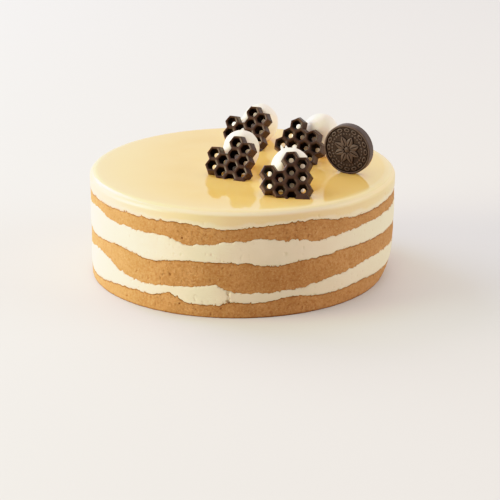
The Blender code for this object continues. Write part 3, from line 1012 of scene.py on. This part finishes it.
def add_dollop(node_name, spread, tips, plate, cells, material):
    """A piped ball of cream that spreads softly behind its plate."""
    low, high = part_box(node_name)
    centre = (low + high) / 2
    radius = (high.x - low.x) / 2
    centre.z = high.z - radius - (PEAK_HEIGHT if tips else 0.0)
    shift = Vector((3.1 * len(tips) + 50.0 * centre.x, 0, 0))
    backing = backing_places(cells)
    rows = []
    shares = []
    for k in range(DOLLOP_ROWS + 1):
        angle = -DOLLOP_FOOT + (math.pi / 2 + DOLLOP_FOOT) * k / DOLLOP_ROWS
        row = []
        for i in range(DOLLOP_AROUND):
            turn = 2 * math.pi * i / DOLLOP_AROUND
            row.append(ball_point(centre, radius, low.z, angle, turn, tips, shift))
        rows.append(row)
        shares.append([spread_share(p, centre, spread * radius, plate, backing) for p in row])
    for row, row_shares in zip(rows, softened(shares, SPREAD_SOFTENING)):
        for i, share in enumerate(row_shares):
            middle = level_middle(centre, row[i])
            row[i] = middle + (row[i] - middle) * share
    obj = closed_body(node_name + "_cream", rows)
    obj.data.materials.append(material)
    dress(obj, "whipped_cream", node_name)


def petal_relief(radius, turn):
    """A rosette of pointed petals with a vein each, and how much painted shade lies on its lines and
    field.
    """
    sector = 2 * math.pi / PETALS
    off_axis = (turn % sector) - sector / 2
    along = radius * math.cos(off_axis) / MM
    across = abs(radius * math.sin(off_axis)) / MM
    share = (along - PETAL_FOOT) / PETAL_LENGTH
    if not 0.0 < share < 1.0:
        return 0.0, FIELD_SHADE
    half_width = PETAL_HALF_WIDTH * math.sin(math.pi * share ** 0.85) ** 0.75
    edge = across / max(half_width, 0.05)
    rise = PETAL_RISE * math.sqrt(max(0.0, 1.0 - edge ** 2)) ** 0.6
    # Painted shade: dark in the vein, along a line round each petal's foot, and on the field.
    vein = math.exp(-((across / 0.4) ** 2)) * smooth_step(4 * (1.0 - share)) * smooth_step(4 * share)
    outline = math.exp(-(((across - half_width - 0.2) / 0.45) ** 2)) * smooth_step(6 * share)
    shade = FIELD_SHADE * smooth_step((across - half_width + 0.2) / 0.3)
    return rise - VEIN_DEPTH * vein, max(vein, outline, shade)


def off_middle(radius, turn, count):
    """How far across, in mm, a point is from the middle of its part of a ring."""
    sector = 2 * math.pi / count
    return radius * ((turn + sector / 2) % sector - sector / 2) / MM


def ring_relief(radius, turn):
    """Scallops under the border and a ring of beads inside them, and their painted shade: on the field,
    in the scallops' hollows, and round scallops and beads.
    """
    out = radius / MM
    rise, line = 0.0, FIELD_SHADE
    across = off_middle(radius, turn, SCALLOPS) / SCALLOP_HALF_WIDTH
    scallop = across ** 2 + ((out - SCALLOP_RING) / SCALLOP_HALF_HEIGHT) ** 2
    if scallop < 1.0:
        inner = math.exp(-(((scallop - 0.12) / 0.16) ** 2))
        rise = SCALLOP_RISE * (1.0 - scallop) ** 0.3 - SCALLOP_HOLLOW * inner
        line = inner
    # Painted shade round each scallop and bead.
    line = max(line, math.exp(-(((scallop - 1.25) / 0.32) ** 2)))
    across = off_middle(radius, turn, BEADS) / BEAD_RADIUS
    bead = across ** 2 + ((out - BEAD_RING) / BEAD_RADIUS) ** 2
    if bead < 1.0:
        rise, line = BEAD_RISE * math.sqrt(1.0 - bead), 0.0
    elif abs(out - BEAD_RING) < 1.1:
        line = max(line, math.exp(-(((bead - 1.2) / 0.6) ** 2)))
    return rise, line


def medallion_point(radius, turn):
    """The height of the medallion's face over its field, and how dark it is painted there, as shade."""
    if radius < BUTTON_RADIUS:
        return PETAL_RISE * math.sqrt(1.0 - (radius / BUTTON_RADIUS) ** 2), 0.1
    relief = petal_relief if radius < PETAL_REACH else ring_relief
    rise, line = relief(radius, turn)
    # Painted shade in a ring round the button's foot, where no groove is cut.
    button_foot_shade = math.exp(-(((radius - BUTTON_RADIUS) / (0.3 * MM)) ** 2))
    return rise, max(line, button_foot_shade)


def medallion_edge():
    """Plain rings over the rounded edge and the border: radius, height, painted shade."""
    outer = MEDALLION_RADIUS
    inner = outer - BORDER_WIDTH
    field = MEDALLION_DEPTH - BORDER_RISE
    bends = [0.5 * math.pi * k / BEVEL_STEPS for k in range(BEVEL_STEPS + 1)]
    shape = [(outer - EDGE_BEVEL, 0.0, 0.0)]
    for bend in bends:
        radius = outer - EDGE_BEVEL * (1.0 - math.sin(bend))
        shape.append((radius, EDGE_BEVEL * (1.0 - math.cos(bend)), 0.0))
    for bend in bends:
        radius = outer - EDGE_BEVEL * (1.0 - math.cos(bend))
        shape.append((radius, MEDALLION_DEPTH - EDGE_BEVEL * (1.0 - math.sin(bend)), 0.0))
    shape += [
        (inner + 0.30 * MM, MEDALLION_DEPTH, 0.0),
        # The border's inner step down to the field is dark as painted shade.
        (inner + 0.05 * MM, MEDALLION_DEPTH - 0.10 * MM, 0.1),
        (inner - 0.10 * MM, MEDALLION_DEPTH - 0.40 * MM, 0.6),
        (inner - 0.25 * MM, field, 1.0),
        (inner - 0.50 * MM, field - 0.10 * MM, 1.0),
    ]
    return [[point] * MEDALLION_AROUND for point in shape]


def medallion_field():
    """Rings over the flower, from the border in: radius, height, painted shade."""
    field = MEDALLION_DEPTH - BORDER_RISE
    reach = MEDALLION_RADIUS - BORDER_WIDTH - FIELD_EDGE
    steps = round(reach / MEDALLION_ROW)
    rings = []
    for k in range(steps):
        radius = reach * (1.0 - k / steps)
        ring = []
        for i in range(MEDALLION_AROUND):
            rise, dark = medallion_point(radius, 2 * math.pi * i / MEDALLION_AROUND)
            ring.append((radius, field + rise, dark))
        rings.append(ring)
    return rings


def add_medallion(material):
    """The medallion: a smooth edge, a raised border and a fine flower inside it."""
    back = Matrix.Translation((0, 0, -MEDALLION_DEPTH))
    standing = Matrix.Translation(MEDALLION_FACE) @ pose(MEDALLION_TURN, MEDALLION_LEAN, 0.0)
    bm = bmesh.new()
    # The darkness of each point, which the material paints as shade.
    deep = bm.verts.layers.float.new("deep")
    made = []
    for ring in medallion_edge() + medallion_field():
        row = []
        for i, (radius, height, dark) in enumerate(ring):
            turn = 2 * math.pi * i / MEDALLION_AROUND
            vert = bm.verts.new((radius * math.cos(turn), radius * math.sin(turn), height))
            vert[deep] = dark
            row.append(vert)
        made.append(row)
    for first, second in zip(made, made[1:]):
        for i in range(MEDALLION_AROUND):
            j = (i + 1) % MEDALLION_AROUND
            bm.faces.new((first[i], first[j], second[j], second[i]))
    bm.faces.new(made[0])
    bm.faces.new(made[-1])
    bm.transform(standing @ back)
    obj = stand_on_glaze(bm, "medallion_chocolate", 50, material)
    dress(obj, "medallion_chocolate", "medallion")


# Set, light and camera


def add_floor():
    mesh = bpy.data.meshes.new("floor")
    bm = bmesh.new()
    bmesh.ops.create_grid(bm, x_segments=1, y_segments=1, size=6.0)
    bm.to_mesh(mesh)
    bm.free()
    shader = Shader("pale_floor")
    shader.set(Roughness=0.6, Specular_IOR_Level=0.2, Base_Color=rgb(0.710, 0.690, 0.633))
    obj = add_object("floor", mesh)
    obj.data.materials.append(shader.material)


def add_world():
    """A bright studio behind and above the cake, nearly dark in front of it."""
    world = bpy.data.worlds.new("studio")
    bpy.context.scene.world = world
    world.use_nodes = True
    tree = world.node_tree
    coordinates = tree.nodes.new("ShaderNodeTexCoord")
    total = None
    for direction, start, colour in GLOWS:
        dot = tree.nodes.new("ShaderNodeVectorMath")
        dot.operation = "DOT_PRODUCT"
        dot.inputs[1].default_value = direction
        spread = tree.nodes.new("ShaderNodeMapRange")
        spread.interpolation_type = "SMOOTHSTEP"
        spread.inputs["From Min"].default_value = start
        glow = tree.nodes.new("ShaderNodeMix")
        glow.data_type = "RGBA"
        glow.inputs[6].default_value = rgb(0.0, 0.0, 0.0)
        glow.inputs[7].default_value = rgb(*colour)
        tree.links.new(coordinates.outputs["Generated"], dot.inputs[0])
        tree.links.new(dot.outputs["Value"], spread.inputs["Value"])
        tree.links.new(spread.outputs["Result"], glow.inputs[0])
        if total is None:
            total = glow.outputs[2]
            continue
        added = tree.nodes.new("ShaderNodeMix")
        added.data_type = "RGBA"
        added.blend_type = "ADD"
        added.inputs[0].default_value = 1.0
        tree.links.new(total, added.inputs[6])
        tree.links.new(glow.outputs[2], added.inputs[7])
        total = added.outputs[2]
    tree.links.new(total, tree.nodes["Background"].inputs["Color"])


def add_light(name, place, power, colour):
    data = bpy.data.lights.new(name, "AREA")
    data.shape = "DISK"
    data.size = LIGHT_SIZE
    data.energy = power
    data.color = colour
    obj = add_object(name, data)
    direction = Vector(LIGHT_TARGET) - Vector(place)
    facing = direction.to_track_quat("-Z", "Y").to_matrix().to_4x4()
    obj.matrix_world = Matrix.Translation(place) @ facing


def add_camera():
    data = bpy.data.cameras.new("camera")
    data.lens = CAMERA_LENS
    data.sensor_width = 36.0
    obj = add_object("camera", data)
    obj.location = CAMERA_PLACE
    obj.rotation_euler = (math.radians(90 - CAMERA_PITCH), 0.0, -CAMERA_YAW)
    bpy.context.scene.camera = obj


def set_film():
    """Plain colours with a soft shoulder, as the photo's bright parts have."""
    view = bpy.context.scene.view_settings
    view.view_transform = "Standard"
    view.look = "None"
    view.use_curve_mapping = True
    film = view.curve_mapping
    film.white_level = (FILM_WHITE, FILM_WHITE, FILM_WHITE)
    for brightness, shown in FILM_CURVE:
        film.curves[3].points.new(brightness, shown)
    film.curves[3].points[-1].location.y = BRIGHTEST
    film.update()


def add_body():
    """Every layer, with edges that its neighbours share, and the glazed top."""
    materials = {"sponge": sponge_material(), "cream": cream_material()}
    low = [0.0] * AROUND
    edges = []
    for number, (name, kind) in enumerate(LAYERS, 1):
        wave, crumb = RAGGED_EDGES[kind]
        high = ragged(outline_heights(nodes[name]), wave, crumb, EDGE_SEED * number)
        add_layer(name, kind, low, high, materials[kind])
        edges.append(high)
        low = high
    add_glazed_top(low, glaze_material())
    add_crumbs(edges, materials["sponge"])


def add_toppings():
    """The plates, the balls of cream behind them, and the medallion."""
    chocolate = chocolate_material()
    whipped = whipped_material()
    plates = []
    for name, place, turn, lean, roll, broken in HEARTS:
        standing = plate_standing(place, turn, lean, roll)
        cells = heart_cells(broken)
        add_heart(name, standing, cells, turn, chocolate)
        plates.append((standing, cells))
    for (name, spread, tips), (standing, cells) in zip(DOLLOPS, plates):
        add_dollop(name, spread, tips, standing, cells, whipped)
    add_medallion(medallion_material())


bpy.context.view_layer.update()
noise.seed_set(NOISE_SEED)
add_body()
add_toppings()
add_floor()
add_world()
for light in LIGHTS:
    add_light(*light)
add_camera()
set_film()
